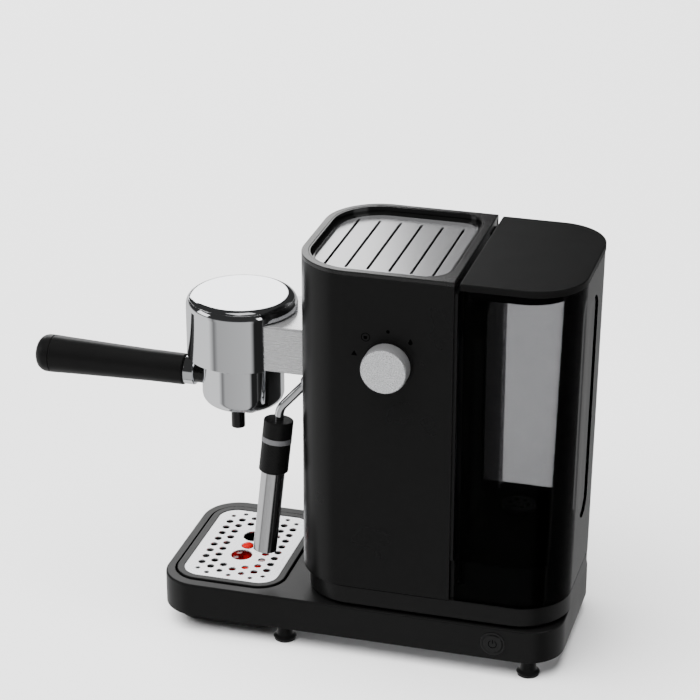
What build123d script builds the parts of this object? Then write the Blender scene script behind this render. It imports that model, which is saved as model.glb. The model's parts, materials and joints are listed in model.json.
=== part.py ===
from build123d import *
from math import cos, radians, sin, tan
import os

os.makedirs("parts", exist_ok=True)

# Counter-top espresso machine. Lengths are in millimetres and heights are above the counter.
# The user stands at -X, in front of the brew group; the knob is on the -Y side, the tank at +X.

# ---------------------------------------------------------------- driving dimensions
FOOT_HEIGHT = 15.0
BASE_TOP = 41.2
BASE_FRONT = -168.6             # user's end of the base
BASE_REAR = 143.9               # tank end of the base
BASE_WIDTH = 142.2
BASE_RADIUS = 29.0
WALL = 3.0                      # moulded covers

PLINTH_TOP = 59.0
PLINTH_FRONT = -55.2
PLINTH_REAR = 145.2
PLINTH_WIDTH = 138.8

COLUMN_HALF = 61.2              # column footprint along X
COLUMN_WIDTH = 140.0
COLUMN_RADIUS = 42.5            # its two rounded corners on the user's side
COLUMN_TOP = 312.0
SHEET = 1.2

SEAT_REAR = 141.9
SEAT_WIDTH = 132.8
SEAT_RADIUS = 36.0
SEAT_TOP = 91.2
SLOT_FRONT, SLOT_REAR, SLOT_BOTTOM = 65.2, 71.9, 71.8
VALVE_X = 97.8                  # water valve, on the mid-plane

GROUP_X = -118.5                # axis of the brew group
GROUP_RADIUS = 42.2
GROUP_BOTTOM = 208.3
GROUP_TOP = 256.3
ARM_WIDTH = 64.0
ARM_BOTTOM, ARM_TOP = 208.8, 245.1

RIM_TOP = 226.6                 # rim of the locked filter holder
CUP_RADIUS = 31.2
HANDLE_DROP = 38.8              # handle axis below the rim
HANDLE_REACH = 166.8            # handle end from the group axis

WELL_FRONT, WELL_REAR, WELL_WIDTH, WELL_RADIUS = -162.1, -72.7, 125.0, 22.0
TRAY_TOP = 42.2
TRAY_DEPTH = 36.0
WELL_BOTTOM = 5.0

TANK_FRONT, TANK_REAR, TANK_WIDTH, TANK_RADIUS = 64.7, 145.3, 138.4, 38.0
TANK_DRAFT = 3.5                # the rear wall leans out by this much at the top
TANK_BOTTOM, TANK_TOP = 59.3, 306.0
TANK_WALL = 2.6
TANK_FLOOR = 91.6

KNOB_X, KNOB_Z, KNOB_RADIUS, KNOB_DEPTH = 13.5, 243.6, 17.2, 13.0
SHAFT_RADIUS = 3.0
BUTTON_X, BUTTON_Z, BUTTON_RADIUS = 95.4, 28.2, 7.4

WAND_BALL = (-59.7, -25.0, 201.7)   # swivel ball
WAND_BEND = (-81.5, -25.3, 177.2)   # corner of the pipe
WAND_TIP = (-91.1, -38.0, 62.9)
BALL_RADIUS = 5.5
SWIVEL_HOLE = 8.0               # clears the pipe when the wand is swung out
STEAM_BORE = 1.5

LID_REAR = TANK_REAR + TANK_DRAFT + 0.4
LID_BOTTOM, LID_TOP = 306.2, 311.2

# The frame's origin is on the counter, below the middle of the whole machine.
SHIFT_X = -(GROUP_X - HANDLE_REACH + LID_REAR) / 2
SHIFT_Y = (KNOB_DEPTH + 1.0 + (COLUMN_WIDTH - BASE_WIDTH) / 2) / 2


# ---------------------------------------------------------------- planes and outlines
def level(z):
    """Horizontal plane at height z; its axes are the machine's X and Y."""
    return Plane(origin=(SHIFT_X, SHIFT_Y, z))


def across(x):
    """Upright plane at x that faces +X; its axes are Y and Z."""
    return Plane(origin=(SHIFT_X + x, SHIFT_Y, 0), x_dir=(0, 1, 0), z_dir=(1, 0, 0))


def along(y):
    """Upright plane at y that faces -Y; its axes are X and Z."""
    return Plane(origin=(SHIFT_X, SHIFT_Y + y, 0), x_dir=(1, 0, 0), z_dir=(0, -1, 0))


def upright_axis(x, y=0.0):
    return Axis((SHIFT_X + x, SHIFT_Y + y, 0), (0, 0, 1))


def outline(x0, x1, width, front_radius=0.0, rear_radius=0.0, mode=Mode.ADD):
    """Rectangle about the mid-plane with its two front and two rear corners rounded."""
    with BuildSketch(mode=Mode.PRIVATE) as plate:
        with Locations(((x0 + x1) / 2, 0)):
            Rectangle(x1 - x0, width)
        if front_radius:
            fillet(plate.vertices().group_by(Axis.X)[0], front_radius)
        if rear_radius:
            fillet(plate.vertices().group_by(Axis.X)[-1], rear_radius)
    add(plate.sketch_local, mode=mode)


def block(x0, x1, y0, y1, z0, z1, mode=Mode.ADD):
    """Box between two corners."""
    with BuildSketch(level(z0)) as shape:
        with Locations(((x0 + x1) / 2, (y0 + y1) / 2)):
            Rectangle(x1 - x0, y1 - y0)
    extrude(shape.sketch, amount=z1 - z0, mode=mode)


def post(x, y, z0, z1, radius, mode=Mode.ADD):
    """Upright cylinder."""
    with BuildSketch(level(z0)) as shape:
        with Locations((x, y)):
            Circle(radius)
    extrude(shape.sketch, amount=z1 - z0, mode=mode)


def prism(z0, z1, x0, x1, width, front_radius=0.0, rear_radius=0.0, mode=Mode.ADD):
    """Upright prism on a rounded outline."""
    with BuildSketch(level(z0)) as shape:
        outline(x0, x1, width, front_radius, rear_radius)
    extrude(shape.sketch, amount=z1 - z0, mode=mode)


def well(inset, z0, z1, mode=Mode.ADD):
    """Prism on the drip-tray opening's outline, drawn in by inset."""
    prism(z0, z1, WELL_FRONT + inset, WELL_REAR - inset, WELL_WIDTH - 2 * inset,
          WELL_RADIUS - inset, WELL_RADIUS - inset, mode)


def turned(x, profile, y=0.0, mode=Mode.ADD):
    """Solid of revolution about the upright axis at x, y; profile lists (radius, height)."""
    with BuildSketch(along(y)) as half:
        with BuildLine():
            Polyline([(x + r, z) for r, z in profile], close=True)
        make_face()
    revolve(half.sketch, axis=upright_axis(x, y), mode=mode)


# ---------------------------------------------------------------- base
SCREW_SPOTS = [(-152, 60), (-152, -60), (-40, 60), (-40, -60), (60, 60), (60, -60), (131, 42), (131, -42)]
SCREW_RADIUS = 1.5
SCREW_HOLE = SCREW_RADIUS + 0.1
SCREW_BOSS = 4.0
PLATE_TOP = FOOT_HEIGHT + 2.2
GLAND_X, GLAND_Z = 100.0, 27.5
GLAND_RADIUS, CORD_RADIUS = 5.4, 3.6
BEZEL_RADIUS = BUTTON_RADIUS + 2.0
HOSE_X = 20.0                   # upright run of the water hoses

with BuildPart() as base_housing:
    prism(FOOT_HEIGHT, BASE_TOP, BASE_FRONT, BASE_REAR, BASE_WIDTH, BASE_RADIUS, BASE_RADIUS)
    fillet(base_housing.edges().group_by(Axis.Z)[-1], 1.6)
    prism(FOOT_HEIGHT, BASE_TOP - WALL, BASE_FRONT + WALL, BASE_REAR - WALL, BASE_WIDTH - 2 * WALL,
          BASE_RADIUS - WALL, BASE_RADIUS - WALL, Mode.SUBTRACT)
    well(-2.4, BASE_TOP - 8, BASE_TOP - 2)
    well(0, BASE_TOP - 5.5, BASE_TOP, Mode.SUBTRACT)
    well(3.8, WELL_BOTTOM, BASE_TOP - 1.5)
    well(6.8, WELL_BOTTOM, BASE_TOP, Mode.SUBTRACT)
    for x, y in SCREW_SPOTS:
        if x > WELL_REAR:
            post(x, y, PLATE_TOP, BASE_TOP - WALL, SCREW_BOSS)
            post(x, y, PLATE_TOP, BASE_TOP - 8, SCREW_HOLE, Mode.SUBTRACT)
        else:
            post(x, y, PLATE_TOP, BASE_TOP - 8, SCREW_BOSS)
            post(x, y, PLATE_TOP, BASE_TOP - 14, SCREW_HOLE, Mode.SUBTRACT)
    with BuildSketch(along(-BASE_WIDTH / 2)):
        with Locations((BUTTON_X, BUTTON_Z)):
            Circle(BEZEL_RADIUS + 0.1)
    extrude(amount=-WALL, mode=Mode.SUBTRACT)
    with BuildSketch(along(BASE_WIDTH / 2)):
        with Locations((GLAND_X, GLAND_Z)):
            Circle(GLAND_RADIUS + 0.1)
    extrude(amount=WALL, mode=Mode.SUBTRACT)
    post(HOSE_X, 0, BASE_TOP - WALL, BASE_TOP, 8, Mode.SUBTRACT)
base_housing.part.label = "base_housing"
export_step(base_housing.part, "parts/base_housing.step")

with BuildPart() as bottom_plate:
    gap = WALL + 0.2
    prism(FOOT_HEIGHT, PLATE_TOP, BASE_FRONT + gap, BASE_REAR - gap, BASE_WIDTH - 2 * gap,
          BASE_RADIUS - gap, BASE_RADIUS - gap)
    well(3.6, FOOT_HEIGHT, PLATE_TOP, Mode.SUBTRACT)
    for x, y in SCREW_SPOTS:
        post(x, y, FOOT_HEIGHT, PLATE_TOP, SCREW_HOLE, Mode.SUBTRACT)
bottom_plate.part.label = "bottom_plate"
export_step(bottom_plate.part, "parts/bottom_plate.step")

with BuildPart() as base_screws:
    for x, y in SCREW_SPOTS:
        post(x, y, FOOT_HEIGHT, FOOT_HEIGHT + 8, SCREW_RADIUS)
        post(x, y, FOOT_HEIGHT - 1.6, FOOT_HEIGHT, 3)
base_screws.part.label = "base_screws"
export_step(base_screws.part, "parts/base_screws.step")

FOOT_SPOTS = [(-69.1, 59), (-69.1, -59), (120.3, 59), (120.3, -59)]
FOOT_RADIUS, STEM_RADIUS = 8.8, 5.8
PAD = 1.6

with BuildPart() as feet:
    for x, y in FOOT_SPOTS:
        turned(x, [(0, PAD), (FOOT_RADIUS, PAD), (FOOT_RADIUS, 2 * PAD), (STEM_RADIUS + 0.2, 4 * PAD),
                   (STEM_RADIUS, FOOT_HEIGHT), (0, FOOT_HEIGHT)], y)
feet.part.label = "feet"
export_step(feet.part, "parts/feet.step")

with BuildPart() as foot_pads:
    for x, y in FOOT_SPOTS:
        post(x, y, 0, PAD, FOOT_RADIUS - 0.8)
foot_pads.part.label = "foot_pads"
export_step(foot_pads.part, "parts/foot_pads.step")

with BuildPart() as button_bezel:
    with BuildSketch(along(-BASE_WIDTH / 2 + WALL)):
        with Locations((BUTTON_X, BUTTON_Z)):
            Circle(BEZEL_RADIUS)
            Circle(BUTTON_RADIUS + 0.3, mode=Mode.SUBTRACT)
    extrude(amount=WALL + 0.4)
button_bezel.part.label = "button_bezel"
export_step(button_bezel.part, "parts/button_bezel.step")

BUTTON_FACE = -BASE_WIDTH / 2 - 0.9

with BuildPart() as power_button:
    with BuildSketch(along(BUTTON_FACE)):
        with Locations((BUTTON_X, BUTTON_Z)):
            Circle(BUTTON_RADIUS)
    extrude(amount=-7)
    fillet(power_button.edges().group_by(Axis.Y)[0], 0.8)
power_button.part.label = "power_button"
export_step(power_button.part, "parts/power_button.step")

with BuildPart() as power_switch:
    block(BUTTON_X - 10, BUTTON_X + 10, -61.8, -44, PLATE_TOP + 1.5, BASE_TOP - WALL - 0.5)
power_switch.part.label = "power_switch"
export_step(power_switch.part, "parts/power_switch.step")

with BuildPart() as cord_gland:
    with BuildSketch(along(BASE_WIDTH / 2 - WALL - 2)):
        with Locations((GLAND_X, GLAND_Z)):
            Circle(GLAND_RADIUS + 2.6)
            Circle(CORD_RADIUS, mode=Mode.SUBTRACT)
    extrude(amount=-2)
    with BuildSketch(along(BASE_WIDTH / 2 - WALL)):
        with Locations((GLAND_X, GLAND_Z)):
            Circle(GLAND_RADIUS)
            Circle(CORD_RADIUS, mode=Mode.SUBTRACT)
    extrude(amount=-WALL)
cord_gland.part.label = "cord_gland"
export_step(cord_gland.part, "parts/cord_gland.step")

# ---------------------------------------------------------------- plinth and tank seat
REVEAL = 3.2                    # shadow gap between base and plinth

with BuildPart() as plinth:
    prism(BASE_TOP, BASE_TOP + REVEAL, PLINTH_FRONT + 3.5, PLINTH_REAR - 5, PLINTH_WIDTH - 7, 34.5, 34.5)
    prism(BASE_TOP + REVEAL, PLINTH_TOP, PLINTH_FRONT, PLINTH_REAR, PLINTH_WIDTH, 38, 39.5)
    chamfer(plinth.edges().group_by(Axis.Z)[-1], 0.8)
    prism(BASE_TOP, PLINTH_TOP, PLINTH_FRONT + 8, SEAT_REAR - 5, SEAT_WIDTH - 10, 30, 31, Mode.SUBTRACT)
plinth.part.label = "plinth"
export_step(plinth.part, "parts/plinth.step")

with BuildPart() as tank_seat:
    prism(PLINTH_TOP, SEAT_TOP, COLUMN_HALF + 0.2, SEAT_REAR, SEAT_WIDTH, 0, SEAT_RADIUS)
    fillet(tank_seat.edges().group_by(Axis.Z)[-1].sort_by(Axis.X)[1:], 1.0)
    prism(PLINTH_TOP, SEAT_TOP - WALL, SLOT_REAR + 2.5, SEAT_REAR - WALL, SEAT_WIDTH - 2 * WALL,
          0, SEAT_RADIUS - WALL, Mode.SUBTRACT)
    post(VALVE_X, 0, SEAT_TOP - 7, SEAT_TOP - WALL, 14)
    post(VALVE_X, 0, SEAT_TOP - 2.5, SEAT_TOP, 10.5, Mode.SUBTRACT)
    post(VALVE_X, 0, SEAT_TOP - 8, SEAT_TOP, 4.3, Mode.SUBTRACT)
    block(SLOT_FRONT, SLOT_REAR, -70, 70, SLOT_BOTTOM, SEAT_TOP, Mode.SUBTRACT)
tank_seat.part.label = "tank_seat"
export_step(tank_seat.part, "parts/tank_seat.step")

NIPPLE_LOW, NIPPLE_TOP = 76.0, 99.4
NIPPLE_RADIUS = 4.2

with BuildPart() as inlet_nipple:
    turned(VALVE_X, [(2, NIPPLE_LOW), (NIPPLE_RADIUS - 0.4, NIPPLE_LOW), (NIPPLE_RADIUS, NIPPLE_LOW + 3),
                     (NIPPLE_RADIUS, SEAT_TOP - 2.5), (8.5, SEAT_TOP - 2.5), (8.5, SEAT_TOP - 1),
                     (NIPPLE_RADIUS + 0.4, SEAT_TOP - 0.6), (NIPPLE_RADIUS, NIPPLE_TOP - 1),
                     (NIPPLE_RADIUS - 1, NIPPLE_TOP), (2, NIPPLE_TOP)])
inlet_nipple.part.label = "inlet_nipple"
export_step(inlet_nipple.part, "parts/inlet_nipple.step")

HOSE_Z = 50.0                   # level run of the suction hose, inside the plinth
PUMP_LOW, COIL_LOW, COIL_HIGH, PUMP_HIGH = 72.0, 86.0, 130.0, 150.0

with BuildPart() as suction_hose:
    with BuildLine(along(0)):
        route = FilletPolyline((VALVE_X, NIPPLE_LOW), (VALVE_X, HOSE_Z), (HOSE_X, HOSE_Z), (HOSE_X, PUMP_LOW),
                               radius=9)
    with BuildSketch(Plane(origin=route @ 0, z_dir=route % 0)):
        Circle(3.6)
        Circle(2.0, mode=Mode.SUBTRACT)
    sweep()
suction_hose.part.label = "suction_hose"
export_step(suction_hose.part, "parts/suction_hose.step")

# ---------------------------------------------------------------- column
FRAME_RIM = 3.0                 # visible thickness of the top frame
SHELL_TOP = COLUMN_TOP - FRAME_RIM
KNOB_HOLE = 4.2

with BuildPart() as column_shell:
    with BuildSketch(level(PLINTH_TOP)):
        outline(-COLUMN_HALF, COLUMN_HALF, COLUMN_WIDTH, COLUMN_RADIUS)
        outline(-COLUMN_HALF + SHEET, COLUMN_HALF + 1, COLUMN_WIDTH - 2 * SHEET, COLUMN_RADIUS - SHEET,
                mode=Mode.SUBTRACT)
    extrude(amount=SHELL_TOP - PLINTH_TOP)
    block(-COLUMN_HALF - 1, -30, -ARM_WIDTH / 2 - 0.2, ARM_WIDTH / 2 + 0.2, ARM_BOTTOM - 0.2, ARM_TOP + 0.2,
          Mode.SUBTRACT)
    with BuildSketch(along(-COLUMN_WIDTH / 2)):
        with Locations((KNOB_X, KNOB_Z)):
            Circle(KNOB_HOLE)
    extrude(amount=-SHEET, mode=Mode.SUBTRACT)
    with BuildSketch(across(-COLUMN_HALF)):
        with Locations((WAND_BALL[1] - 1.2, WAND_BALL[2] - 2.2)):
            Circle(SWIVEL_HOLE)
    extrude(amount=2, mode=Mode.SUBTRACT)
column_shell.part.label = "column_shell"
export_step(column_shell.part, "parts/column_shell.step")

PANEL_FACE = COLUMN_HALF - 3.0  # recessed middle of the panel that faces the tank
RAIL_FACE = COLUMN_HALF + 2.4
RAIL_INNER, RAIL_OUTER = 54.0, 68.5
PANEL_TOP = 303.0
HOOK_END, HOOK_HALF, HOOK_LOW, HOOK_HIGH = 73.8, 29.0, 250.0, 265.0

with BuildPart() as side_panel:
    block(PANEL_FACE - 2.5, PANEL_FACE, -68.6, 68.6, PLINTH_TOP, PANEL_TOP)
    for side in (-1, 1):
        low, high = sorted((side * RAIL_INNER, side * RAIL_OUTER))
        block(PANEL_FACE, RAIL_FACE, low, high, SEAT_TOP + 0.3, PANEL_TOP)
side_panel.part.label = "side_panel"
export_step(side_panel.part, "parts/side_panel.step")

with BuildPart() as tank_hook:
    block(PANEL_FACE, HOOK_END, -HOOK_HALF, HOOK_HALF, HOOK_LOW, HOOK_HIGH)
    fillet(tank_hook.edges().filter_by(Axis.Z).group_by(Axis.X)[-1], 4.5)
    chamfer(tank_hook.edges().group_by(Axis.Z)[0].filter_by(Axis.Y).sort_by(Axis.X)[-1], 3.5)
tank_hook.part.label = "tank_hook"
export_step(tank_hook.part, "parts/tank_hook.step")

RECESS_FRONT, RECESS_REAR, RECESS_WIDTH = -56.0, 55.3, 130.0
RECESS_FRONT_RADIUS, RECESS_REAR_RADIUS = 37.3, 20.0
PLATE_FACE = COLUMN_TOP - 6.0
WARMER_SHEET = 1.5
FRAME_BOTTOM = COLUMN_TOP - 8.5
SLOT_COUNT, SLOT_PITCH, SLOT_LENGTH = 6, 16.1, 96.0


def recess(inset, z0, z1, mode=Mode.ADD):
    """Prism on the outline of the cup-warmer recess, drawn in by inset."""
    prism(z0, z1, RECESS_FRONT + inset, RECESS_REAR - inset, RECESS_WIDTH - 2 * inset,
          RECESS_FRONT_RADIUS - inset, RECESS_REAR_RADIUS - inset, mode)


with BuildPart() as top_frame:
    prism(SHELL_TOP, COLUMN_TOP, -COLUMN_HALF, COLUMN_HALF, COLUMN_WIDTH, COLUMN_RADIUS)
    fillet(top_frame.edges().group_by(Axis.Z)[-1], 0.8)
    lip = SHEET + 0.2
    prism(FRAME_BOTTOM, SHELL_TOP, -COLUMN_HALF + lip, COLUMN_HALF - 0.4, COLUMN_WIDTH - 2 * lip,
          COLUMN_RADIUS - lip)
    recess(0, PLATE_FACE - WARMER_SHEET, COLUMN_TOP, Mode.SUBTRACT)
    recess(4.5, FRAME_BOTTOM, COLUMN_TOP, Mode.SUBTRACT)
top_frame.part.label = "top_frame"
export_step(top_frame.part, "parts/top_frame.step")

with BuildPart() as cup_warmer_plate:
    recess(0.3, PLATE_FACE - WARMER_SHEET, PLATE_FACE)
    with BuildSketch(level(PLATE_FACE)):
        with GridLocations(SLOT_PITCH, 0, SLOT_COUNT, 1):
            SlotOverall(SLOT_LENGTH, 2.0, rotation=90)
    extrude(amount=-WARMER_SHEET, mode=Mode.SUBTRACT)
cup_warmer_plate.part.label = "cup_warmer_plate"
export_step(cup_warmer_plate.part, "parts/cup_warmer_plate.step")

with BuildPart() as warmer_trim:
    recess(0.2, PLATE_FACE, COLUMN_TOP - 0.2)
    recess(1.4, PLATE_FACE, COLUMN_TOP, Mode.SUBTRACT)
    recess(1.4, PLATE_FACE, PLATE_FACE + 1.6)
    recess(4.6, PLATE_FACE, COLUMN_TOP, Mode.SUBTRACT)
warmer_trim.part.label = "warmer_trim"
export_step(warmer_trim.part, "parts/warmer_trim.step")

# ---------------------------------------------------------------- inside the column
CHASSIS_FLOOR = PLINTH_TOP + 2
UPRIGHT_X = 40.0

with BuildPart() as chassis:
    prism(PLINTH_TOP, CHASSIS_FLOOR, -COLUMN_HALF + 3, PANEL_FACE - 3, COLUMN_WIDTH - 6, COLUMN_RADIUS - 3)
    block(UPRIGHT_X, UPRIGHT_X + 2, -55, 55, CHASSIS_FLOOR, COLUMN_TOP - 14)
    post(HOSE_X, 0, PLINTH_TOP, CHASSIS_FLOOR, 9, Mode.SUBTRACT)
chassis.part.label = "chassis"
export_step(chassis.part, "parts/chassis.step")

STRAP_LOW, STRAP_HALF = 212.0, 42.0
ARM_END = -50.0                 # the arm's inner end, inside the column
BREW_Z = 236.0                  # pipe from the thermoblock to the brew head

with BuildPart() as arm_bracket:
    block(ARM_END, ARM_END + 2, -STRAP_HALF, STRAP_HALF, STRAP_LOW - 2, ARM_TOP + 12)
    block(ARM_END + 2, UPRIGHT_X, -STRAP_HALF, -STRAP_HALF + 2, STRAP_LOW, STRAP_LOW + 20)
    block(ARM_END + 2, UPRIGHT_X, STRAP_HALF - 2, STRAP_HALF, STRAP_LOW, STRAP_LOW + 20)
    with BuildSketch(across(ARM_END)):
        with Locations((0, BREW_Z)):
            Circle(6)
    extrude(amount=2, mode=Mode.SUBTRACT)
arm_bracket.part.label = "arm_bracket"
export_step(arm_bracket.part, "parts/arm_bracket.step")

with BuildPart() as pump:
    block(2, 38, -22, 22, COIL_LOW, COIL_HIGH)
    post(HOSE_X, 0, PUMP_LOW, COIL_LOW, 6)
    post(HOSE_X, 0, COIL_HIGH, PUMP_HIGH, 8)
pump.part.label = "pump"
export_step(pump.part, "parts/pump.step")

with BuildPart() as pump_mounts:
    for side in (-1, 1):
        low, high = sorted((side * 12, side * 20))
        block(6, 34, low, high, CHASSIS_FLOOR, COIL_LOW)
pump_mounts.part.label = "pump_mounts"
export_step(pump_mounts.part, "parts/pump_mounts.step")

BLOCK_LOW, BLOCK_HIGH = 216.0, 252.0
BLOCK_FRONT, BLOCK_REAR, BLOCK_HALF = -30.0, 36.0, 32.0

with BuildPart() as pressure_hose:
    with BuildSketch(level(PUMP_HIGH)):
        with Locations((HOSE_X, 0)):
            Circle(3)
            Circle(1.5, mode=Mode.SUBTRACT)
    extrude(amount=BLOCK_LOW - PUMP_HIGH)
pressure_hose.part.label = "pressure_hose"
export_step(pressure_hose.part, "parts/pressure_hose.step")

with BuildPart() as thermoblock:
    block(BLOCK_FRONT, BLOCK_REAR, -BLOCK_HALF, BLOCK_HALF, BLOCK_LOW, BLOCK_HIGH)
    fillet(thermoblock.edges().filter_by(Axis.Z), 6)
    for z in (BLOCK_LOW + 11, BLOCK_LOW + 23):
        with BuildSketch(level(z)):
            outline(BLOCK_FRONT - 1, BLOCK_REAR + 1, 2 * BLOCK_HALF + 2)
            outline(BLOCK_FRONT + 3, BLOCK_REAR - 3, 2 * BLOCK_HALF - 6, 4, 4, Mode.SUBTRACT)
        extrude(amount=3, mode=Mode.SUBTRACT)
thermoblock.part.label = "thermoblock"
export_step(thermoblock.part, "parts/thermoblock.step")

VALVE_FRONT = -36.0

with BuildPart() as steam_valve:
    block(VALVE_FRONT, VALVE_FRONT + 24, WAND_BALL[1] - 11, WAND_BALL[1] + 11, 188, BLOCK_LOW - 3)
    post(VALVE_FRONT + 14, WAND_BALL[1] + 4, BLOCK_LOW - 3, BLOCK_LOW, 4)
steam_valve.part.label = "steam_valve"
export_step(steam_valve.part, "parts/steam_valve.step")

SOCKET_BACK = -49.0

with BuildPart() as steam_pipe:
    with BuildSketch(across(SOCKET_BACK)):
        with Locations(WAND_BALL[1:]):
            Circle(2.5)
            Circle(STEAM_BORE, mode=Mode.SUBTRACT)
    extrude(amount=VALVE_FRONT - SOCKET_BACK)
steam_pipe.part.label = "steam_pipe"
export_step(steam_pipe.part, "parts/steam_pipe.step")

BREW_PIPE_END = GROUP_X + 39.4
BREW_PIPE_RADIUS = 3.0

with BuildPart() as brew_pipe:
    with BuildSketch(across(BREW_PIPE_END)):
        with Locations((0, BREW_Z)):
            Circle(BREW_PIPE_RADIUS)
            Circle(1.8, mode=Mode.SUBTRACT)
    extrude(amount=BLOCK_FRONT - BREW_PIPE_END)
brew_pipe.part.label = "brew_pipe"
export_step(brew_pipe.part, "parts/brew_pipe.step")

SWITCH_FACE = -66.0

with BuildPart() as selector_switch:
    block(KNOB_X - 15, KNOB_X + 15, SWITCH_FACE, SWITCH_FACE + 22, KNOB_Z - 15, KNOB_Z + 15)
    with BuildSketch(along(SWITCH_FACE)):
        with Locations((KNOB_X, KNOB_Z)):
            Circle(6)
    extrude(amount=2.8)
    with BuildSketch(along(SWITCH_FACE - 2.8)):
        with Locations((KNOB_X, KNOB_Z)):
            Circle(SHAFT_RADIUS + 0.06)
    extrude(amount=-9, mode=Mode.SUBTRACT)
selector_switch.part.label = "selector_switch"
export_step(selector_switch.part, "parts/selector_switch.step")

BOARD_Y = 60.0

with BuildPart() as control_board:
    block(-30, 34, BOARD_Y, BOARD_Y + 1.6, 120, 200)
    for x, z, size in ((-16, 140, 12), (10, 150, 16), (-12, 178, 9), (18, 184, 10)):
        block(x - size / 2, x + size / 2, BOARD_Y - size, BOARD_Y, z - size / 2, z + size / 2)
control_board.part.label = "control_board"
export_step(control_board.part, "parts/control_board.step")

# ---------------------------------------------------------------- knob
with BuildPart() as knob_ring:
    with BuildSketch(along(-COLUMN_WIDTH / 2)):
        with Locations((KNOB_X, KNOB_Z)):
            Circle(KNOB_RADIUS + 1.3)
            Circle(KNOB_HOLE, mode=Mode.SUBTRACT)
    extrude(amount=0.6)
knob_ring.part.label = "knob_ring"
export_step(knob_ring.part, "parts/knob_ring.step")

with BuildPart() as knob:
    with BuildSketch(along(-COLUMN_WIDTH / 2 - 1.0)):
        with Locations((KNOB_X, KNOB_Z)):
            Circle(KNOB_RADIUS)
    extrude(amount=KNOB_DEPTH)
    chamfer(knob.edges().group_by(Axis.Y)[0], 0.8)
    with BuildSketch(along(-COLUMN_WIDTH / 2 - 1.0)):
        with Locations((KNOB_X, KNOB_Z)):
            Circle(SHAFT_RADIUS)
    extrude(amount=-10)
knob.part.label = "knob"
export_step(knob.part, "parts/knob.step")

# ---------------------------------------------------------------- brew group
NOTCH_TOP = ARM_TOP + 1.4

with BuildPart() as group_arm:
    with BuildSketch(across(GROUP_X + 20)):
        with Locations((0, (ARM_BOTTOM + ARM_TOP) / 2)):
            RectangleRounded(ARM_WIDTH, ARM_TOP - ARM_BOTTOM, 1.6)
            RectangleRounded(ARM_WIDTH - 4, ARM_TOP - ARM_BOTTOM - 4, 0.8, mode=Mode.SUBTRACT)
    extrude(amount=ARM_END - GROUP_X - 20)
    post(GROUP_X, 0, ARM_BOTTOM - 1, ARM_TOP + 1, 40.3, Mode.SUBTRACT)
group_arm.part.label = "group_arm"
export_step(group_arm.part, "parts/group_arm.step")

with BuildPart() as group_shell:
    post(GROUP_X, 0, GROUP_BOTTOM, GROUP_TOP, GROUP_RADIUS)
    fillet(group_shell.edges().group_by(Axis.Z)[-1], 8)
    post(GROUP_X, 0, GROUP_BOTTOM, GROUP_TOP - 2.5, GROUP_RADIUS - 2.4, Mode.SUBTRACT)
    with BuildSketch(across(GROUP_X)):
        with Locations((0, (GROUP_BOTTOM + NOTCH_TOP) / 2 - 6)):
            RectangleRounded(ARM_WIDTH + 0.6, NOTCH_TOP - GROUP_BOTTOM + 12, 2)
    extrude(amount=60, mode=Mode.SUBTRACT)
group_shell.part.label = "group_shell"
export_step(group_shell.part, "parts/group_shell.step")

HEAD_BOTTOM = 227.0
SCREEN_TOP = 223.5              # the head's middle boss, which the shower screen is screwed to
HEAD_RADIUS = 39.2
HEAD_REAR = -66.0               # water fitting on the head

with BuildPart() as brew_head:
    turned(GROUP_X, [(2.2, SCREEN_TOP), (25.3, SCREEN_TOP), (26.3, HEAD_BOTTOM), (26.3, 232), (33.2, 232),
                     (33.2, HEAD_BOTTOM), (HEAD_RADIUS, HEAD_BOTTOM), (HEAD_RADIUS, 232), (34, 250), (2.2, 250)])
    block(GROUP_X + 28, HEAD_REAR, -14, 14, 232, 242)
    with BuildSketch(across(HEAD_REAR)):
        with Locations((0, BREW_Z)):
            Circle(BREW_PIPE_RADIUS + 0.1)
    extrude(amount=-34, mode=Mode.SUBTRACT)
    post(HEAD_REAR - 32, 0, SCREEN_TOP, BREW_Z, 1.5, Mode.SUBTRACT)
brew_head.part.label = "brew_head"
export_step(brew_head.part, "parts/brew_head.step")

with BuildPart() as group_gasket:
    turned(GROUP_X, [(26.5, HEAD_BOTTOM - 0.1), (33.0, HEAD_BOTTOM - 0.1), (33.0, 232), (26.5, 232)])
group_gasket.part.label = "group_gasket"
export_step(group_gasket.part, "parts/group_gasket.step")

with BuildPart() as shower_screen:
    turned(GROUP_X, [(2.2, SCREEN_TOP - 1), (25.8, SCREEN_TOP - 1), (25.8, SCREEN_TOP), (2.2, SCREEN_TOP)])
    with BuildSketch(level(SCREEN_TOP - 1)):
        with Locations((GROUP_X, 0)):
            for ring in (7, 12, 17, 22):
                with PolarLocations(ring, ring):
                    Circle(0.9)
    extrude(amount=1, mode=Mode.SUBTRACT)
shower_screen.part.label = "shower_screen"
export_step(shower_screen.part, "parts/shower_screen.step")

with BuildPart() as shower_screw:
    turned(GROUP_X, [(0, 221), (4, 221), (4, SCREEN_TOP - 1), (2, SCREEN_TOP - 1), (2, 240), (0, 240)])
shower_screw.part.label = "shower_screw"
export_step(shower_screw.part, "parts/shower_screw.step")

# Bayonet: three lugs on the filter holder turn in over three shelves inside the ring.
LUG_COUNT = 3
LUG_RADIUS = 36.8
LUG_ARC = 44.0                  # degrees that each lug spans
GAP_ARC = 56.0                  # degrees of each gap between shelves
UNLOCK_TURN = 45.0              # degrees from locked to the gaps
LUG_LOW, LUG_HIGH = 213.4, 219.4
COLLAR_TOP = 223.8
COLLAR_RADIUS = 33.9


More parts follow.
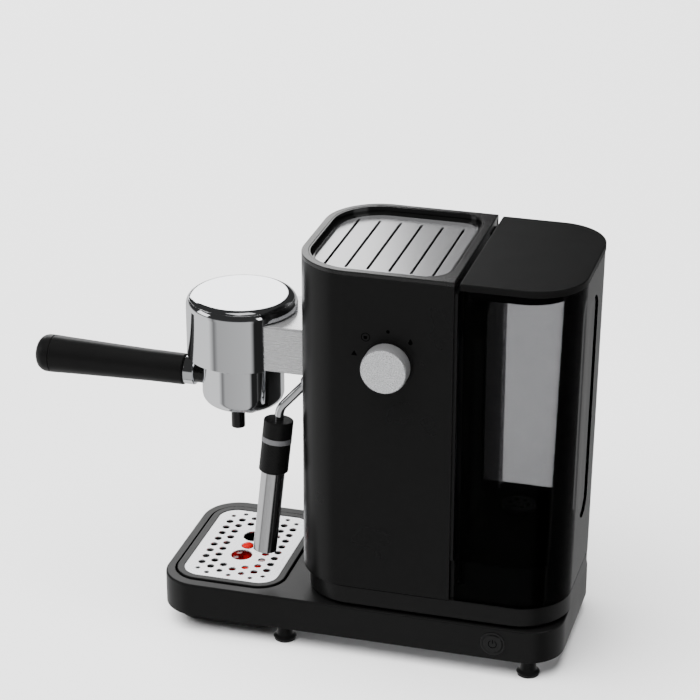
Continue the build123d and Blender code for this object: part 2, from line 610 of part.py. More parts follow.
def sector(radius, middle, arc):
    """Wedge of a disc about the group axis, centred on the angle middle."""
    edge = [middle - arc / 2, middle + arc / 2]
    ends = [(GROUP_X + radius * cos(radians(a)), radius * sin(radians(a))) for a in edge]
    with BuildLine() as wedge:
        Line((GROUP_X, 0), ends[0])
        RadiusArc(ends[0], ends[1], -radius)
        Line(ends[1], (GROUP_X, 0))
    make_face(wedge.edges())


with BuildPart() as bayonet_ring:
    turned(GROUP_X, [(34.3, GROUP_BOTTOM + 0.3), (HEAD_RADIUS, GROUP_BOTTOM + 0.3), (HEAD_RADIUS, HEAD_BOTTOM),
                     (37.2, HEAD_BOTTOM), (37.2, LUG_LOW - 0.3), (34.3, LUG_LOW - 0.3)])
    for n in range(LUG_COUNT):
        with BuildSketch(level(GROUP_BOTTOM)):
            sector(37.6, 60 - UNLOCK_TURN + n * 360 / LUG_COUNT, GAP_ARC)
        extrude(amount=LUG_LOW - GROUP_BOTTOM, mode=Mode.SUBTRACT)
bayonet_ring.part.label = "bayonet_ring"
export_step(bayonet_ring.part, "parts/bayonet_ring.step")

# ---------------------------------------------------------------- filter holder
CUP_BOTTOM = RIM_TOP - 58.0
SPOUT_Y = 14.0
HANDLE_Z = RIM_TOP - HANDLE_DROP

with BuildPart() as portafilter_cup:
    post(GROUP_X, 0, CUP_BOTTOM, RIM_TOP - 2.4, CUP_RADIUS)
    fillet(portafilter_cup.edges().group_by(Axis.Z)[0], 8)
    post(GROUP_X, 0, RIM_TOP - 2.4, RIM_TOP, 32.3)
    chamfer(portafilter_cup.edges().group_by(Axis.Z)[-1], 0.5)
    post(GROUP_X, 0, CUP_BOTTOM + 3, RIM_TOP, 29.4, Mode.SUBTRACT)
    for side in (-1, 1):
        post(GROUP_X, side * SPOUT_Y, CUP_BOTTOM, CUP_BOTTOM + 3, 3, Mode.SUBTRACT)
portafilter_cup.part.label = "portafilter_cup"
export_step(portafilter_cup.part, "parts/portafilter_cup.step")

with BuildPart() as lock_collar:
    turned(GROUP_X, [(CUP_RADIUS, LUG_LOW), (COLLAR_RADIUS, LUG_LOW), (COLLAR_RADIUS, COLLAR_TOP),
                     (CUP_RADIUS, COLLAR_TOP)])
    for n in range(LUG_COUNT):
        with BuildSketch(level(LUG_LOW)):
            sector(LUG_RADIUS, 60 + n * 360 / LUG_COUNT, LUG_ARC)
        extrude(amount=LUG_HIGH - LUG_LOW)
    post(GROUP_X, 0, LUG_LOW, COLLAR_TOP, CUP_RADIUS, Mode.SUBTRACT)
lock_collar.part.label = "lock_collar"
export_step(lock_collar.part, "parts/lock_collar.step")

with BuildPart() as filter_basket:
    turned(GROUP_X, [(26.6, RIM_TOP), (29.2, RIM_TOP), (29.2, RIM_TOP - 1), (27.4, RIM_TOP - 1),
                     (27.4, 214), (25.4, 211), (25.4, 199), (0, 199), (0, 199.8), (24.6, 199.8),
                     (24.6, 211.3), (26.6, 214.3)])
    with BuildSketch(level(199)):
        with Locations((GROUP_X, 0)):
            for ring in (6, 10, 14, 18):
                with PolarLocations(ring, 2 * ring - 2):
                    Circle(0.6)
    extrude(amount=1, mode=Mode.SUBTRACT)
filter_basket.part.label = "filter_basket"
export_step(filter_basket.part, "parts/filter_basket.step")

with BuildPart() as basket_spring:
    with BuildSketch(along(0)):
        with Locations((GROUP_X + 28.4, 220)):
            Circle(0.8)
    revolve(axis=upright_axis(GROUP_X), revolution_arc=320)
basket_spring.part.label = "basket_spring"
export_step(basket_spring.part, "parts/basket_spring.step")

SPOUT_BOTTOM = RIM_TOP - 74.0

with BuildPart() as spouts:
    for side in (-1, 1):
        with BuildSketch(level(SPOUT_BOTTOM)):
            with Locations((GROUP_X, side * SPOUT_Y)):
                Circle(5.2)
                Circle(3.2, mode=Mode.SUBTRACT)
        extrude(amount=CUP_BOTTOM - SPOUT_BOTTOM)
spouts.part.label = "spouts"
export_step(spouts.part, "parts/spouts.step")


def rod(reach0, reach1, radius):
    """Round bar along the handle's axis, from reach0 to reach1 in front of the group axis."""
    with BuildSketch(across(GROUP_X - reach1)) as shape:
        with Locations((0, HANDLE_Z)):
            Circle(radius)
    extrude(shape.sketch, amount=reach1 - reach0)


JOINT_END, NECK_END = 37.0, 46.0
STUD_RADIUS = 3.0
STUD_END = 90.0                 # the joint's threaded stud runs this far into the handle

with BuildPart() as handle_joint:
    rod(CUP_RADIUS - 4, JOINT_END, 9)
    rod(CUP_RADIUS, STUD_END, STUD_RADIUS)
    post(GROUP_X, 0, HANDLE_Z - 10, HANDLE_Z + 10, CUP_RADIUS, Mode.SUBTRACT)
handle_joint.part.label = "handle_joint"
export_step(handle_joint.part, "parts/handle_joint.step")

with BuildPart() as handle_neck:
    with BuildSketch(across(GROUP_X - NECK_END)):
        with Locations((0, HANDLE_Z)):
            Circle(11)
            Circle(STUD_RADIUS, mode=Mode.SUBTRACT)
    extrude(amount=NECK_END - JOINT_END)
    chamfer(handle_neck.edges().filter_by(GeomType.CIRCLE).group_by(SortBy.RADIUS)[-1], 0.8)
handle_neck.part.label = "handle_neck"
export_step(handle_neck.part, "parts/handle_neck.step")

with BuildPart() as handle:
    with BuildSketch(along(0)):
        with BuildLine():
            start, end = GROUP_X - NECK_END, GROUP_X - HANDLE_REACH
            Polyline((start, HANDLE_Z + STUD_RADIUS), (start, HANDLE_Z + 12), (end, HANDLE_Z + 15),
                     (end, HANDLE_Z), (GROUP_X - STUD_END, HANDLE_Z),
                     (GROUP_X - STUD_END, HANDLE_Z + STUD_RADIUS), close=True)
        make_face()
    revolve(axis=Axis((SHIFT_X, SHIFT_Y, HANDLE_Z), (1, 0, 0)))
    fillet(handle.edges().group_by(Axis.X)[0], 11)
handle.part.label = "handle"
export_step(handle.part, "parts/handle.step")

# ---------------------------------------------------------------- steam wand
PIPE_RADIUS = 3.4
TIP_POINT = Vector(SHIFT_X + WAND_TIP[0], SHIFT_Y + WAND_TIP[1], WAND_TIP[2])
BEND_POINT = Vector(SHIFT_X + WAND_BEND[0], SHIFT_Y + WAND_BEND[1], WAND_BEND[2])
BALL_POINT = Vector(SHIFT_X + WAND_BALL[0], SHIFT_Y + WAND_BALL[1], WAND_BALL[2])
WAND_UP = (BEND_POINT - TIP_POINT).normalized()
NECK_DOWN = (BEND_POINT - BALL_POINT).normalized()
BEND_TURN = NECK_DOWN.get_angle(-WAND_UP)


def wand_ring(distance, length, radius, bore, mode=Mode.ADD):
    """Tube on the wand's straight run, from a distance above its tip."""
    with BuildSketch(Plane(origin=TIP_POINT + WAND_UP * distance, z_dir=WAND_UP)) as shape:
        Circle(radius)
        if bore:
            Circle(bore, mode=Mode.SUBTRACT)
    extrude(shape.sketch, amount=length, mode=mode)


SLEEVE_LENGTH = 64.8
GRIP_LENGTH = 41.5
BAND_LOW, BAND_HIGH = 24.0, 28.0    # band, above the grip's lower end

BEND_RADIUS = 14.0
bend_back = BEND_RADIUS * tan(radians(BEND_TURN / 2))
neck = (BEND_POINT - BALL_POINT).length - bend_back
run = (BEND_POINT - TIP_POINT).length - bend_back - SLEEVE_LENGTH - 4

with BuildPart() as wand_pipe:
    bend_plane = Plane(origin=BALL_POINT, x_dir=NECK_DOWN, z_dir=NECK_DOWN.cross(-WAND_UP))
    with BuildLine(bend_plane):
        straight = Line((0, 0), (neck, 0))
        bend = JernArc(start=straight @ 1, tangent=straight % 1, radius=BEND_RADIUS, arc_size=BEND_TURN)
        PolarLine(start=bend @ 1, length=run, direction=bend % 1)
    with BuildSketch(Plane(origin=BALL_POINT, z_dir=NECK_DOWN)):
        Circle(PIPE_RADIUS)
        Circle(STEAM_BORE, mode=Mode.SUBTRACT)
    sweep()
    with Locations(BALL_POINT):
        Sphere(BALL_RADIUS)
    for bore_way in (NECK_DOWN, Vector(1, 0, 0)):
        with BuildSketch(Plane(origin=BALL_POINT, z_dir=bore_way)):
            Circle(STEAM_BORE)
        extrude(amount=BALL_RADIUS + 1, mode=Mode.SUBTRACT)
wand_pipe.part.label = "wand_pipe"
export_step(wand_pipe.part, "parts/wand_pipe.step")

with BuildPart() as wand_grip:
    wand_ring(SLEEVE_LENGTH, GRIP_LENGTH, 11.3, PIPE_RADIUS)
    chamfer(wand_grip.edges().filter_by(GeomType.CIRCLE).group_by(SortBy.RADIUS)[-1], 1.0)
    wand_ring(SLEEVE_LENGTH + BAND_LOW, BAND_HIGH - BAND_LOW, 12, 10.8, Mode.SUBTRACT)
wand_grip.part.label = "wand_grip"
export_step(wand_grip.part, "parts/wand_grip.step")

with BuildPart() as wand_band:
    wand_ring(SLEEVE_LENGTH + BAND_LOW, BAND_HIGH - BAND_LOW, 11.4, 10.8)
wand_band.part.label = "wand_band"
export_step(wand_band.part, "parts/wand_band.step")

with BuildPart() as wand_sleeve:
    wand_ring(0, SLEEVE_LENGTH, 9.0, 7.8)
    wand_ring(SLEEVE_LENGTH - 3, 3, 9.0, PIPE_RADIUS + 0.1)
wand_sleeve.part.label = "wand_sleeve"
export_step(wand_sleeve.part, "parts/wand_sleeve.step")

SOCKET_RADIUS = 6.8
SOCKET_FRONT = WAND_BALL[0] + 1.4   # behind the ball's middle, so that the pipe clears it

with BuildPart() as wand_socket:
    with BuildSketch(along(WAND_BALL[1])) as socket_half:
        with Locations((SOCKET_FRONT, WAND_BALL[2])):
            Rectangle(SOCKET_BACK - SOCKET_FRONT, SOCKET_RADIUS, align=(Align.MIN, Align.MIN))
            Rectangle(SOCKET_BACK - SOCKET_FRONT, STEAM_BORE, align=(Align.MIN, Align.MIN), mode=Mode.SUBTRACT)
        with Locations((WAND_BALL[0], WAND_BALL[2])):
            Circle(BALL_RADIUS + 0.06, mode=Mode.SUBTRACT)
    revolve(axis=Axis(BALL_POINT, (1, 0, 0)))
wand_socket.part.label = "wand_socket"
export_step(wand_socket.part, "parts/wand_socket.step")

# ---------------------------------------------------------------- water tank
TANK_FACE = 67.6                # flat wall that faces the column
TANK_INNER = TANK_FACE + TANK_WALL
CHANNEL_HALF = 34.0
CHANNEL_DEPTH = 9.8
CHANNEL_TOP = 279.0
BOSS_TOP = 108.0
VALVE_SEAT = 100.2


def drafted(z0, z1, x0, inset, mode=Mode.ADD):
    """Tank-shaped solid whose rear wall leans out, drawn in by inset."""
    ends = []
    for z in (z0, z1):
        rear = TANK_REAR - inset + TANK_DRAFT * (z - TANK_BOTTOM) / (TANK_TOP - TANK_BOTTOM)
        with BuildSketch(level(z)) as end:
            outline(x0, rear, TANK_WIDTH - 2 * inset, 0, TANK_RADIUS - inset)
        ends.append(end.sketch)
    loft(ends, ruled=True, mode=mode)


GROOVE_WIDTH = 29.0             # shallow finger groove down the rear wall
GROOVE_LOW, GROOVE_HIGH = 106.0, 284.0
GROOVE_DEPTH = 1.1

with BuildPart() as tank_groove:
    with BuildSketch(across(TANK_REAR - 3)):
        with Locations((0, (GROOVE_LOW + GROOVE_HIGH) / 2)):
            SlotOverall(GROOVE_HIGH - GROOVE_LOW, GROOVE_WIDTH, rotation=90)
    extrude(amount=10)
    drafted(TANK_BOTTOM, TANK_TOP, TANK_FRONT, GROOVE_DEPTH, Mode.SUBTRACT)

with BuildPart() as tank_body:
    drafted(TANK_BOTTOM, TANK_TOP, TANK_FRONT, 0)
    drafted(TANK_FLOOR + TANK_WALL, TANK_TOP, TANK_INNER, TANK_WALL, Mode.SUBTRACT)
    block(TANK_FACE, TANK_FACE + CHANNEL_DEPTH, -CHANNEL_HALF, CHANNEL_HALF, TANK_FLOOR, CHANNEL_TOP)
    post(VALVE_X, 0, TANK_FLOOR, BOSS_TOP, 12.6)
    prism(TANK_BOTTOM, TANK_FLOOR, TANK_INNER, SEAT_REAR + 0.4, SEAT_WIDTH + 0.8, 0, SEAT_RADIUS + 0.4,
          Mode.SUBTRACT)
    block(TANK_FACE - 0.1, TANK_INNER + 0.1, -SEAT_WIDTH / 2 - 0.4, SEAT_WIDTH / 2 + 0.4, TANK_BOTTOM, 73,
          Mode.SUBTRACT)
    block(TANK_FRONT - 1, TANK_FACE, -SEAT_WIDTH / 2 - 0.4, SEAT_WIDTH / 2 + 0.4, TANK_BOTTOM, TANK_TOP,
          Mode.SUBTRACT)
    channel_inner = CHANNEL_HALF - 2.4
    block(TANK_FRONT - 1, TANK_FACE + CHANNEL_DEPTH - 2.4, -channel_inner, channel_inner, TANK_BOTTOM,
          CHANNEL_TOP - 2.4, Mode.SUBTRACT)
    post(VALVE_X, 0, VALVE_SEAT, BOSS_TOP, 10.2, Mode.SUBTRACT)
    post(VALVE_X, 0, TANK_FLOOR, VALVE_SEAT, 6.5, Mode.SUBTRACT)
    add(tank_groove.part, mode=Mode.SUBTRACT)
tank_body.part.label = "tank_body"
export_step(tank_body.part, "parts/tank_body.step")

VALVE_LOW = NIPPLE_TOP + 0.1

with BuildPart() as tank_valve:
    turned(VALVE_X, [(0, VALVE_LOW), (5.6, VALVE_LOW), (5.6, VALVE_SEAT + 0.8), (8.8, VALVE_SEAT + 0.8),
                     (8.8, VALVE_SEAT + 2.3), (2, VALVE_SEAT + 2.3), (2, BOSS_TOP + 1), (0, BOSS_TOP + 1)])
tank_valve.part.label = "tank_valve"
export_step(tank_valve.part, "parts/tank_valve.step")

with BuildPart() as valve_cage:
    turned(VALVE_X, [(2.06, BOSS_TOP), (12.6, BOSS_TOP), (12.6, BOSS_TOP + 1.6), (2.06, BOSS_TOP + 1.6)])
    with BuildSketch(level(BOSS_TOP)):
        with Locations((VALVE_X, 0)):
            with PolarLocations(6.8, 6):
                Circle(2.2)
    extrude(amount=2, mode=Mode.SUBTRACT)
valve_cage.part.label = "valve_cage"
export_step(valve_cage.part, "parts/valve_cage.step")

LID_SKIRT = 7.0

with BuildPart() as tank_lid:
    prism(LID_BOTTOM, LID_TOP, TANK_FRONT, LID_REAR, TANK_WIDTH + 0.8, 1.5, TANK_RADIUS + 0.4)
    fillet(tank_lid.edges().group_by(Axis.Z)[-1], 0.8)
    inside = TANK_WALL + 0.6
    prism(LID_BOTTOM - LID_SKIRT, LID_BOTTOM, TANK_FACE + inside, TANK_REAR - inside,
          TANK_WIDTH - 2 * inside, 0, TANK_RADIUS - inside)
    prism(LID_BOTTOM - LID_SKIRT, LID_BOTTOM, TANK_FACE + inside + 2, TANK_REAR - inside - 2,
          TANK_WIDTH - 2 * inside - 4, 0, TANK_RADIUS - inside - 2, Mode.SUBTRACT)
tank_lid.part.label = "tank_lid"
export_step(tank_lid.part, "parts/tank_lid.step")

# ---------------------------------------------------------------- drip tray
TRAY_BOTTOM = TRAY_TOP - TRAY_DEPTH
TRAY_X = (WELL_FRONT + WELL_REAR) / 2
GRID_FACE = TRAY_TOP - 0.4
GRID_THICK = 1.2
GRID_INSET = 7.4

with BuildPart() as tray_body:
    well(7.8, TRAY_BOTTOM, TRAY_TOP - 2.5)
    fillet(tray_body.edges().group_by(Axis.Z)[0], 4)
    well(1.6, TRAY_TOP - 2.4, TRAY_TOP)
    fillet(tray_body.edges().group_by(Axis.Z)[-1], 0.8)
    well(7.8, TRAY_TOP - 3, TRAY_TOP - 2.4)
    well(10.2, TRAY_BOTTOM + 2.4, TRAY_TOP, Mode.SUBTRACT)
    well(GRID_INSET - 0.3, GRID_FACE - GRID_THICK, TRAY_TOP, Mode.SUBTRACT)
tray_body.part.label = "tray_body"
export_step(tray_body.part, "parts/tray_body.step")

HOLE_PITCH_X, HOLE_PITCH_Y = 8.75, 9.8
HOLE, END_HOLE, CORNER_HOLE = 2.9, 2.5, 1.9
CLEAR_Y, END_Y = 30.0, 43.0     # free field round the large holes; start of the smaller end holes
BIG_HOLE, BIG_HOLE_Y = 8.3, 15.7
FLOAT_HOLE = 5.2


def hole_column(column):
    """Small holes of one column of the grid; neighbouring columns are staggered by half a pitch."""
    count = 10 if column % 2 else 11
    end_hole = END_HOLE if abs(column) == 1 else CORNER_HOLE
    for row in range(count):
        y = (row - (count - 1) / 2) * HOLE_PITCH_Y
        if abs(column) > 1 or abs(y) > CLEAR_Y:
            with Locations((TRAY_X + column * HOLE_PITCH_X, y)):
                Circle(HOLE if abs(y) < END_Y else end_hole)


with BuildPart() as drip_grid:
    well(GRID_INSET, GRID_FACE - GRID_THICK, GRID_FACE)
    with BuildSketch(level(GRID_FACE)):
        for column in range(-3, 4):
            hole_column(column)
        with Locations((TRAY_X, BIG_HOLE_Y), (TRAY_X, -BIG_HOLE_Y)):
            Circle(BIG_HOLE)
        with Locations((TRAY_X, 0)):
            Circle(FLOAT_HOLE)
    extrude(amount=-GRID_THICK, mode=Mode.SUBTRACT)
drip_grid.part.label = "drip_grid"
export_step(drip_grid.part, "parts/drip_grid.step")

FLOAT_BOTTOM = TRAY_BOTTOM + 2.6
FLOAT_SHOULDER = 30.0
FLOAT_RADIUS, FLOAT_STEM = 17.0, 4.6

with BuildPart() as level_float:
    turned(TRAY_X, [(0, FLOAT_BOTTOM), (FLOAT_RADIUS - 2, FLOAT_BOTTOM), (FLOAT_RADIUS, FLOAT_BOTTOM + 2),
                    (FLOAT_RADIUS, FLOAT_SHOULDER - 1), (FLOAT_RADIUS - 1, FLOAT_SHOULDER),
                    (FLOAT_STEM, FLOAT_SHOULDER), (FLOAT_STEM, GRID_FACE + 1.4),
                    (FLOAT_STEM - 1.2, GRID_FACE + 2.6), (0, GRID_FACE + 2.6)])
level_float.part.label = "level_float"
export_step(level_float.part, "parts/level_float.step")
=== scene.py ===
import bpy
import bmesh
import json
from math import cos, pi, radians, sin
from mathutils import Matrix, Vector


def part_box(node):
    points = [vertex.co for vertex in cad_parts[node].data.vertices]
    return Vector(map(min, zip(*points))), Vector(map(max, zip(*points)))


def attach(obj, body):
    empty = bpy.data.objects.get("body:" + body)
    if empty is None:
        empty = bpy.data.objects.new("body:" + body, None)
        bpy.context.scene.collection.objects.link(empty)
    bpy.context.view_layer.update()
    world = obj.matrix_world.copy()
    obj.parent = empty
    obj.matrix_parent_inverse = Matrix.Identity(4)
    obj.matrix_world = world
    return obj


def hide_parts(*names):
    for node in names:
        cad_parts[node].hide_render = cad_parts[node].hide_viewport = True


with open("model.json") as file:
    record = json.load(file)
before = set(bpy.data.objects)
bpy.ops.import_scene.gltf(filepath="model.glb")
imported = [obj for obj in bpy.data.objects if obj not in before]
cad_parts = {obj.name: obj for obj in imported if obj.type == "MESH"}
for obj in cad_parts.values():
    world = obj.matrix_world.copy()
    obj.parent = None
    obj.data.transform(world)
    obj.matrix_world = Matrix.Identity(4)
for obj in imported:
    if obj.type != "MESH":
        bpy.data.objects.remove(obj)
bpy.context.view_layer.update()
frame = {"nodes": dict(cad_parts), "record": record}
nodes = frame["nodes"]
MM = 0.001


# ---------------------------------------------------------------- node materials
class Material:
    """Principled material with a few procedural layers."""

    def __init__(self, name, colour, roughness, metallic=0.0, **inputs):
        self.data = bpy.data.materials.new(name)
        self.data.use_nodes = True
        self.tree = self.data.node_tree
        self.shader = self.tree.nodes["Principled BSDF"]
        self.colour = colour
        self.roughness = roughness
        self.shader.inputs["Base Color"].default_value = (*colour, 1)
        self.shader.inputs["Roughness"].default_value = roughness
        self.shader.inputs["Metallic"].default_value = metallic
        for key, value in inputs.items():
            self.shader.inputs[key.replace("_", " ")].default_value = value
        self.normal = None

    def node(self, kind, **settings):
        """Adds a node; a setting named after a socket sets the socket, any other sets the node itself."""
        made = self.tree.nodes.new(kind)
        for key, value in settings.items():
            if key in made.inputs:
                made.inputs[key].default_value = value
            else:
                setattr(made, key, value)
        return made

    def link(self, source, target):
        self.tree.links.new(source, target)

    def noise(self, scale, stretch=(1, 1, 1), detail=3.0):
        """Noise in object space, stretched along an axis where stretch is below 1."""
        place = self.node("ShaderNodeTexCoord")
        grain = self.node("ShaderNodeMapping")
        grain.inputs["Scale"].default_value = stretch
        pattern = self.node("ShaderNodeTexNoise", Scale=scale, Detail=detail)
        self.link(place.outputs["Object"], grain.inputs["Vector"])
        self.link(grain.outputs["Vector"], pattern.inputs["Vector"])
        return pattern.outputs["Fac"]

    def spread(self, fac, low, high):
        """Stretches the middle of a noise to run from low to high."""
        band = self.node("ShaderNodeMapRange")
        band.inputs["From Min"].default_value = 0.3
        band.inputs["From Max"].default_value = 0.7
        band.inputs["To Min"].default_value = low
        band.inputs["To Max"].default_value = high
        self.link(fac, band.inputs["Value"])
        return band.outputs["Result"]

    def vary_roughness(self, fac, amount):
        self.link(self.spread(fac, self.roughness - amount, self.roughness + amount),
                  self.shader.inputs["Roughness"])

    def vary_colour(self, fac, amount):
        ramp = self.node("ShaderNodeValToRGB")
        ramp.color_ramp.elements[0].position = 0.3
        ramp.color_ramp.elements[1].position = 0.7
        ramp.color_ramp.elements[0].color = (*[c * (1 - amount) for c in self.colour], 1)
        ramp.color_ramp.elements[1].color = (*[min(1, c * (1 + amount)) for c in self.colour], 1)
        self.link(fac, ramp.inputs["Fac"])
        self.link(ramp.outputs["Color"], self.shader.inputs["Base Color"])

    def soft_edges(self, radius):
        """Rounds the look of machined and moulded edges."""
        bevel = self.node("ShaderNodeBevel", samples=4)
        bevel.inputs["Radius"].default_value = radius
        self.normal = bevel.outputs["Normal"]
        self.link(self.normal, self.shader.inputs["Normal"])

    def bump(self, fac, height, strength=0.5):
        lift = self.node("ShaderNodeBump")
        lift.inputs["Strength"].default_value = strength
        lift.inputs["Distance"].default_value = height
        self.link(fac, lift.inputs["Height"])
        if self.normal:
            self.link(self.normal, lift.inputs["Normal"])
        self.normal = lift.outputs["Normal"]
        self.link(self.normal, self.shader.inputs["Normal"])


def moulded(name, colour, roughness, grain=2600, height=0.00003, edge=0.0005, shine=0.5):
    """Moulded plastic or fine satin enamel: a tiny even texture with a slow drift in gloss."""
    made = Material(name, colour, roughness, Specular_IOR_Level=shine)
    made.soft_edges(edge)
    made.bump(made.noise(grain), height)
    slow = made.noise(14, detail=4)
    made.vary_roughness(slow, 0.04)
    made.vary_colour(slow, 0.06)
    return made.data


def brushed(name, colour, roughness, stretch, scale=1500, edge=0.0004, shade=0.05, metallic=0.85):
    """Brushed metal: fine scratches drawn out along one direction."""
    made = Material(name, colour, roughness, metallic)
    made.soft_edges(edge)
    lines = made.noise(scale, stretch)
    made.bump(lines, 0.00002, shade * 4)
    made.vary_roughness(lines, shade)
    made.vary_colour(lines, shade)
    return made.data


def polished(name, colour, roughness, edge=0.0006):
    """Chrome plate: mirror-like with faint wiping marks."""
    made = Material(name, colour, roughness, metallic=1.0)
    made.soft_edges(edge)
    made.vary_roughness(made.noise(60, (1, 1, 0.3), 4), 0.02)
    return made.data


def smoky(name, tint):
    """Thin tinted clear plastic: each face dims what is seen through it and mirrors more at a slant."""
    made = Material(name, (0.004, 0.004, 0.004), 0.04)
    made.vary_roughness(made.noise(30), 0.01)
    clear = made.node("ShaderNodeBsdfTransparent")
    clear.inputs["Color"].default_value = (*tint, 1)
    slant = made.node("ShaderNodeFresnel")
    slant.inputs["IOR"].default_value = 1.49
    blend = made.node("ShaderNodeMixShader")
    made.link(slant.outputs["Fac"], blend.inputs["Fac"])
    made.link(clear.outputs["BSDF"], blend.inputs[1])
    made.link(made.shader.outputs["BSDF"], blend.inputs[2])
    made.link(blend.outputs["Shader"], made.tree.nodes["Material Output"].inputs["Surface"])
    return made.data


look = {
    "satin_black": moulded("satin_black", (0.003, 0.003, 0.003), 0.30, 3200, 0.00001, shine=0.17),
    "black_plastic": moulded("black_plastic", (0.004, 0.004, 0.004), 0.34, shine=0.17),
    "gloss_black": moulded("gloss_black", (0.003, 0.003, 0.003), 0.14, height=0.000005, shine=0.4),
    "matt_black": moulded("matt_black", (0.004, 0.004, 0.004), 0.46, 1800, 0.00004, shine=0.06),
    "rim_black": moulded("rim_black", (0.006, 0.006, 0.006), 0.26, height=0.00001),
    "chrome": polished("chrome", (0.82, 0.83, 0.85), 0.035),
    "steel": brushed("steel", (0.72, 0.72, 0.73), 0.28, (0.04, 1, 1)),
    "turned_steel": brushed("turned_steel", (0.70, 0.70, 0.71), 0.12, (1, 1, 0.05), metallic=1.0),
    "pressed_steel": brushed("pressed_steel", (0.45, 0.45, 0.46), 0.42, (1, 1, 1), 300),
    "aluminium": brushed("aluminium", (0.50, 0.50, 0.51), 0.45, (1, 1, 1), 700),
    "silver_plate": brushed("silver_plate", (0.68, 0.685, 0.70), 0.27, (1, 0.05, 1), 900, shade=0.02,
                            metallic=0.75),
    "warmer_steel": brushed("warmer_steel", (0.42, 0.42, 0.43), 0.2, (1, 0.05, 1), 900, shade=0.008),
    "brass": polished("brass", (0.76, 0.58, 0.28), 0.28),
    "rubber": moulded("rubber", (0.01, 0.01, 0.01), 0.72, 1400, 0.00008, shine=0.2),
    "silicone": moulded("silicone", (0.62, 0.62, 0.6), 0.4),
    "smoke": smoky("smoke", (0.585, 0.585, 0.59)),
    "red": moulded("red", (0.50, 0.006, 0.006), 0.10, height=0.000004),
    "grey_plastic": moulded("grey_plastic", (0.10, 0.10, 0.105), 0.40, shine=0.3),
    "board": moulded("board", (0.02, 0.13, 0.05), 0.3, 900),
    "mark_black": moulded("mark_black", (0.0005, 0.0005, 0.0005), 0.5, shine=0.0),
}
# Pieces whose finish differs from that of their material slot.
repaint = {
    "top_frame": "rim_black", "tank_lid": "matt_black",
    "wand_sleeve": "turned_steel", "knob_ring": "matt_black",
    "cup_warmer_plate": "warmer_steel", "wand_band": "grey_plastic",
}
for part in frame["record"]["subparts"]:
    data = nodes[part["node"]].data
    data.materials.clear()
    data.materials.append(look[repaint.get(part["node"], part["material_slot"])])


# ---------------------------------------------------------------- mesh building
def finish_mesh(name, bm, body, material, smooth=35.0):
    """Turns a bmesh into a piece that rides on a body; edges sharper than smooth degrees stay crisp."""
    bmesh.ops.recalc_face_normals(bm, faces=bm.faces)
    for face in bm.faces:
        face.smooth = True
    for edge in bm.edges:
        if len(edge.link_faces) == 2 and edge.calc_face_angle() > radians(smooth):
            edge.smooth = False
    mesh = bpy.data.meshes.new(name)
    bm.to_mesh(mesh)
    bm.free()
    piece = bpy.data.objects.new(name, mesh)
    bpy.context.collection.objects.link(piece)
    mesh.materials.append(look[material])
    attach(piece, body)
    return piece


def along_axis(origin, direction):
    """Frame whose Z runs along direction."""
    turn = Vector(direction).to_track_quat("Z", "Y").to_matrix().to_4x4()
    return Matrix.Translation(origin) @ turn


def spin(bm, profile, place, sides=96, ripple=None):
    """Closed solid of revolution; ripple(angle, radius, height) may change the radius."""
    rings = []
    for radius, height in profile:
        if radius == 0:
            rings.append([bm.verts.new(place @ Vector((0, 0, height)))])
            continue
        ring = []
        for k in range(sides):
            angle = 2 * pi * k / sides
            r = ripple(angle, radius, height) if ripple else radius
            ring.append(bm.verts.new(place @ Vector((r * cos(angle), r * sin(angle), height))))
        rings.append(ring)
    closed = profile[0][0] > 0
    pairs = list(zip(rings, rings[1:]))
    if closed:
        pairs.append((rings[-1], rings[0]))
    for low, high in pairs:
        for k in range(sides):
            n = (k + 1) % sides
            corners = [low[k % len(low)], low[n % len(low)], high[n % len(high)], high[k % len(high)]]
            unique = list(dict.fromkeys(corners))
            if len(unique) > 2:
                bm.faces.new(unique)


def arc(centre, radius, start, end, steps=8):
    """Points (r, z) on an arc, angles in degrees."""
    angles = [radians(start + (end - start) * k / steps) for k in range(steps + 1)]
    return [(centre[0] + radius * cos(a), centre[1] + radius * sin(a)) for a in angles]


def spun_piece(name, profile, place, body, material, sides=96, ripple=None):
    bm = bmesh.new()
    spin(bm, [(r * MM, z * MM) for r, z in profile], place, sides, ripple)
    return finish_mesh(name, bm, body, material)


def corners(box):
    """Low and high corner of a box, as vectors."""
    return [Vector(corner) for corner in box]


# ---------------------------------------------------------------- filter holder handle
NECK_RADIUS = 10.6
NECK_LIP = 1.2          # rounding at the neck
THICK_RADIUS = 14.6     # at the thick end
NOSE = 9.0              # rounding at the thick end
SEAM_FROM_END = 12.7    # fine groove round the thick end
SEAM_RADIUS = 14.1

low, high = corners(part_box("handle"))
middle = (low + high) / 2
length = (high.x - low.x) / MM
seam = length - SEAM_FROM_END
grip = [(0, 0), (NECK_RADIUS, 0)]
grip += arc((NECK_RADIUS + 0.2, NECK_LIP), NECK_LIP, -90, 0)
grip += [(12.3, length * 0.25), (13.1, length * 0.5), (14.1, length * 0.78)]
grip += [(THICK_RADIUS, seam - 1.3), (THICK_RADIUS + 0.02, seam - 0.5)]
grip += [(SEAM_RADIUS, seam - 0.2), (SEAM_RADIUS, seam + 0.2)]
grip += [(THICK_RADIUS + 0.02, seam + 0.5)]
grip += arc((THICK_RADIUS - NOSE, length - NOSE), NOSE, 4, 90, 12)
grip += [(0, length)]
handle_place = along_axis((high.x, middle.y, middle.z), (-1, 0, 0))
handle = spun_piece("handle_grip", grip, handle_place, "portafilter", "black_plastic")
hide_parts("handle")


# ---------------------------------------------------------------- knob and its marks
KNOB_RADIUS = 17.2
KNOB_DEPTH = 13.0       # from the machine's side to the face
RIM_DEPTH = 12.0        # the ribbed part of it
RIBS = 90
RIB_DEPTH = 0.28

low, high = corners(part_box("knob"))
knob_x = (low.x + high.x) / 2
knob_z = (low.z + high.z) / 2
knob_face = low.y


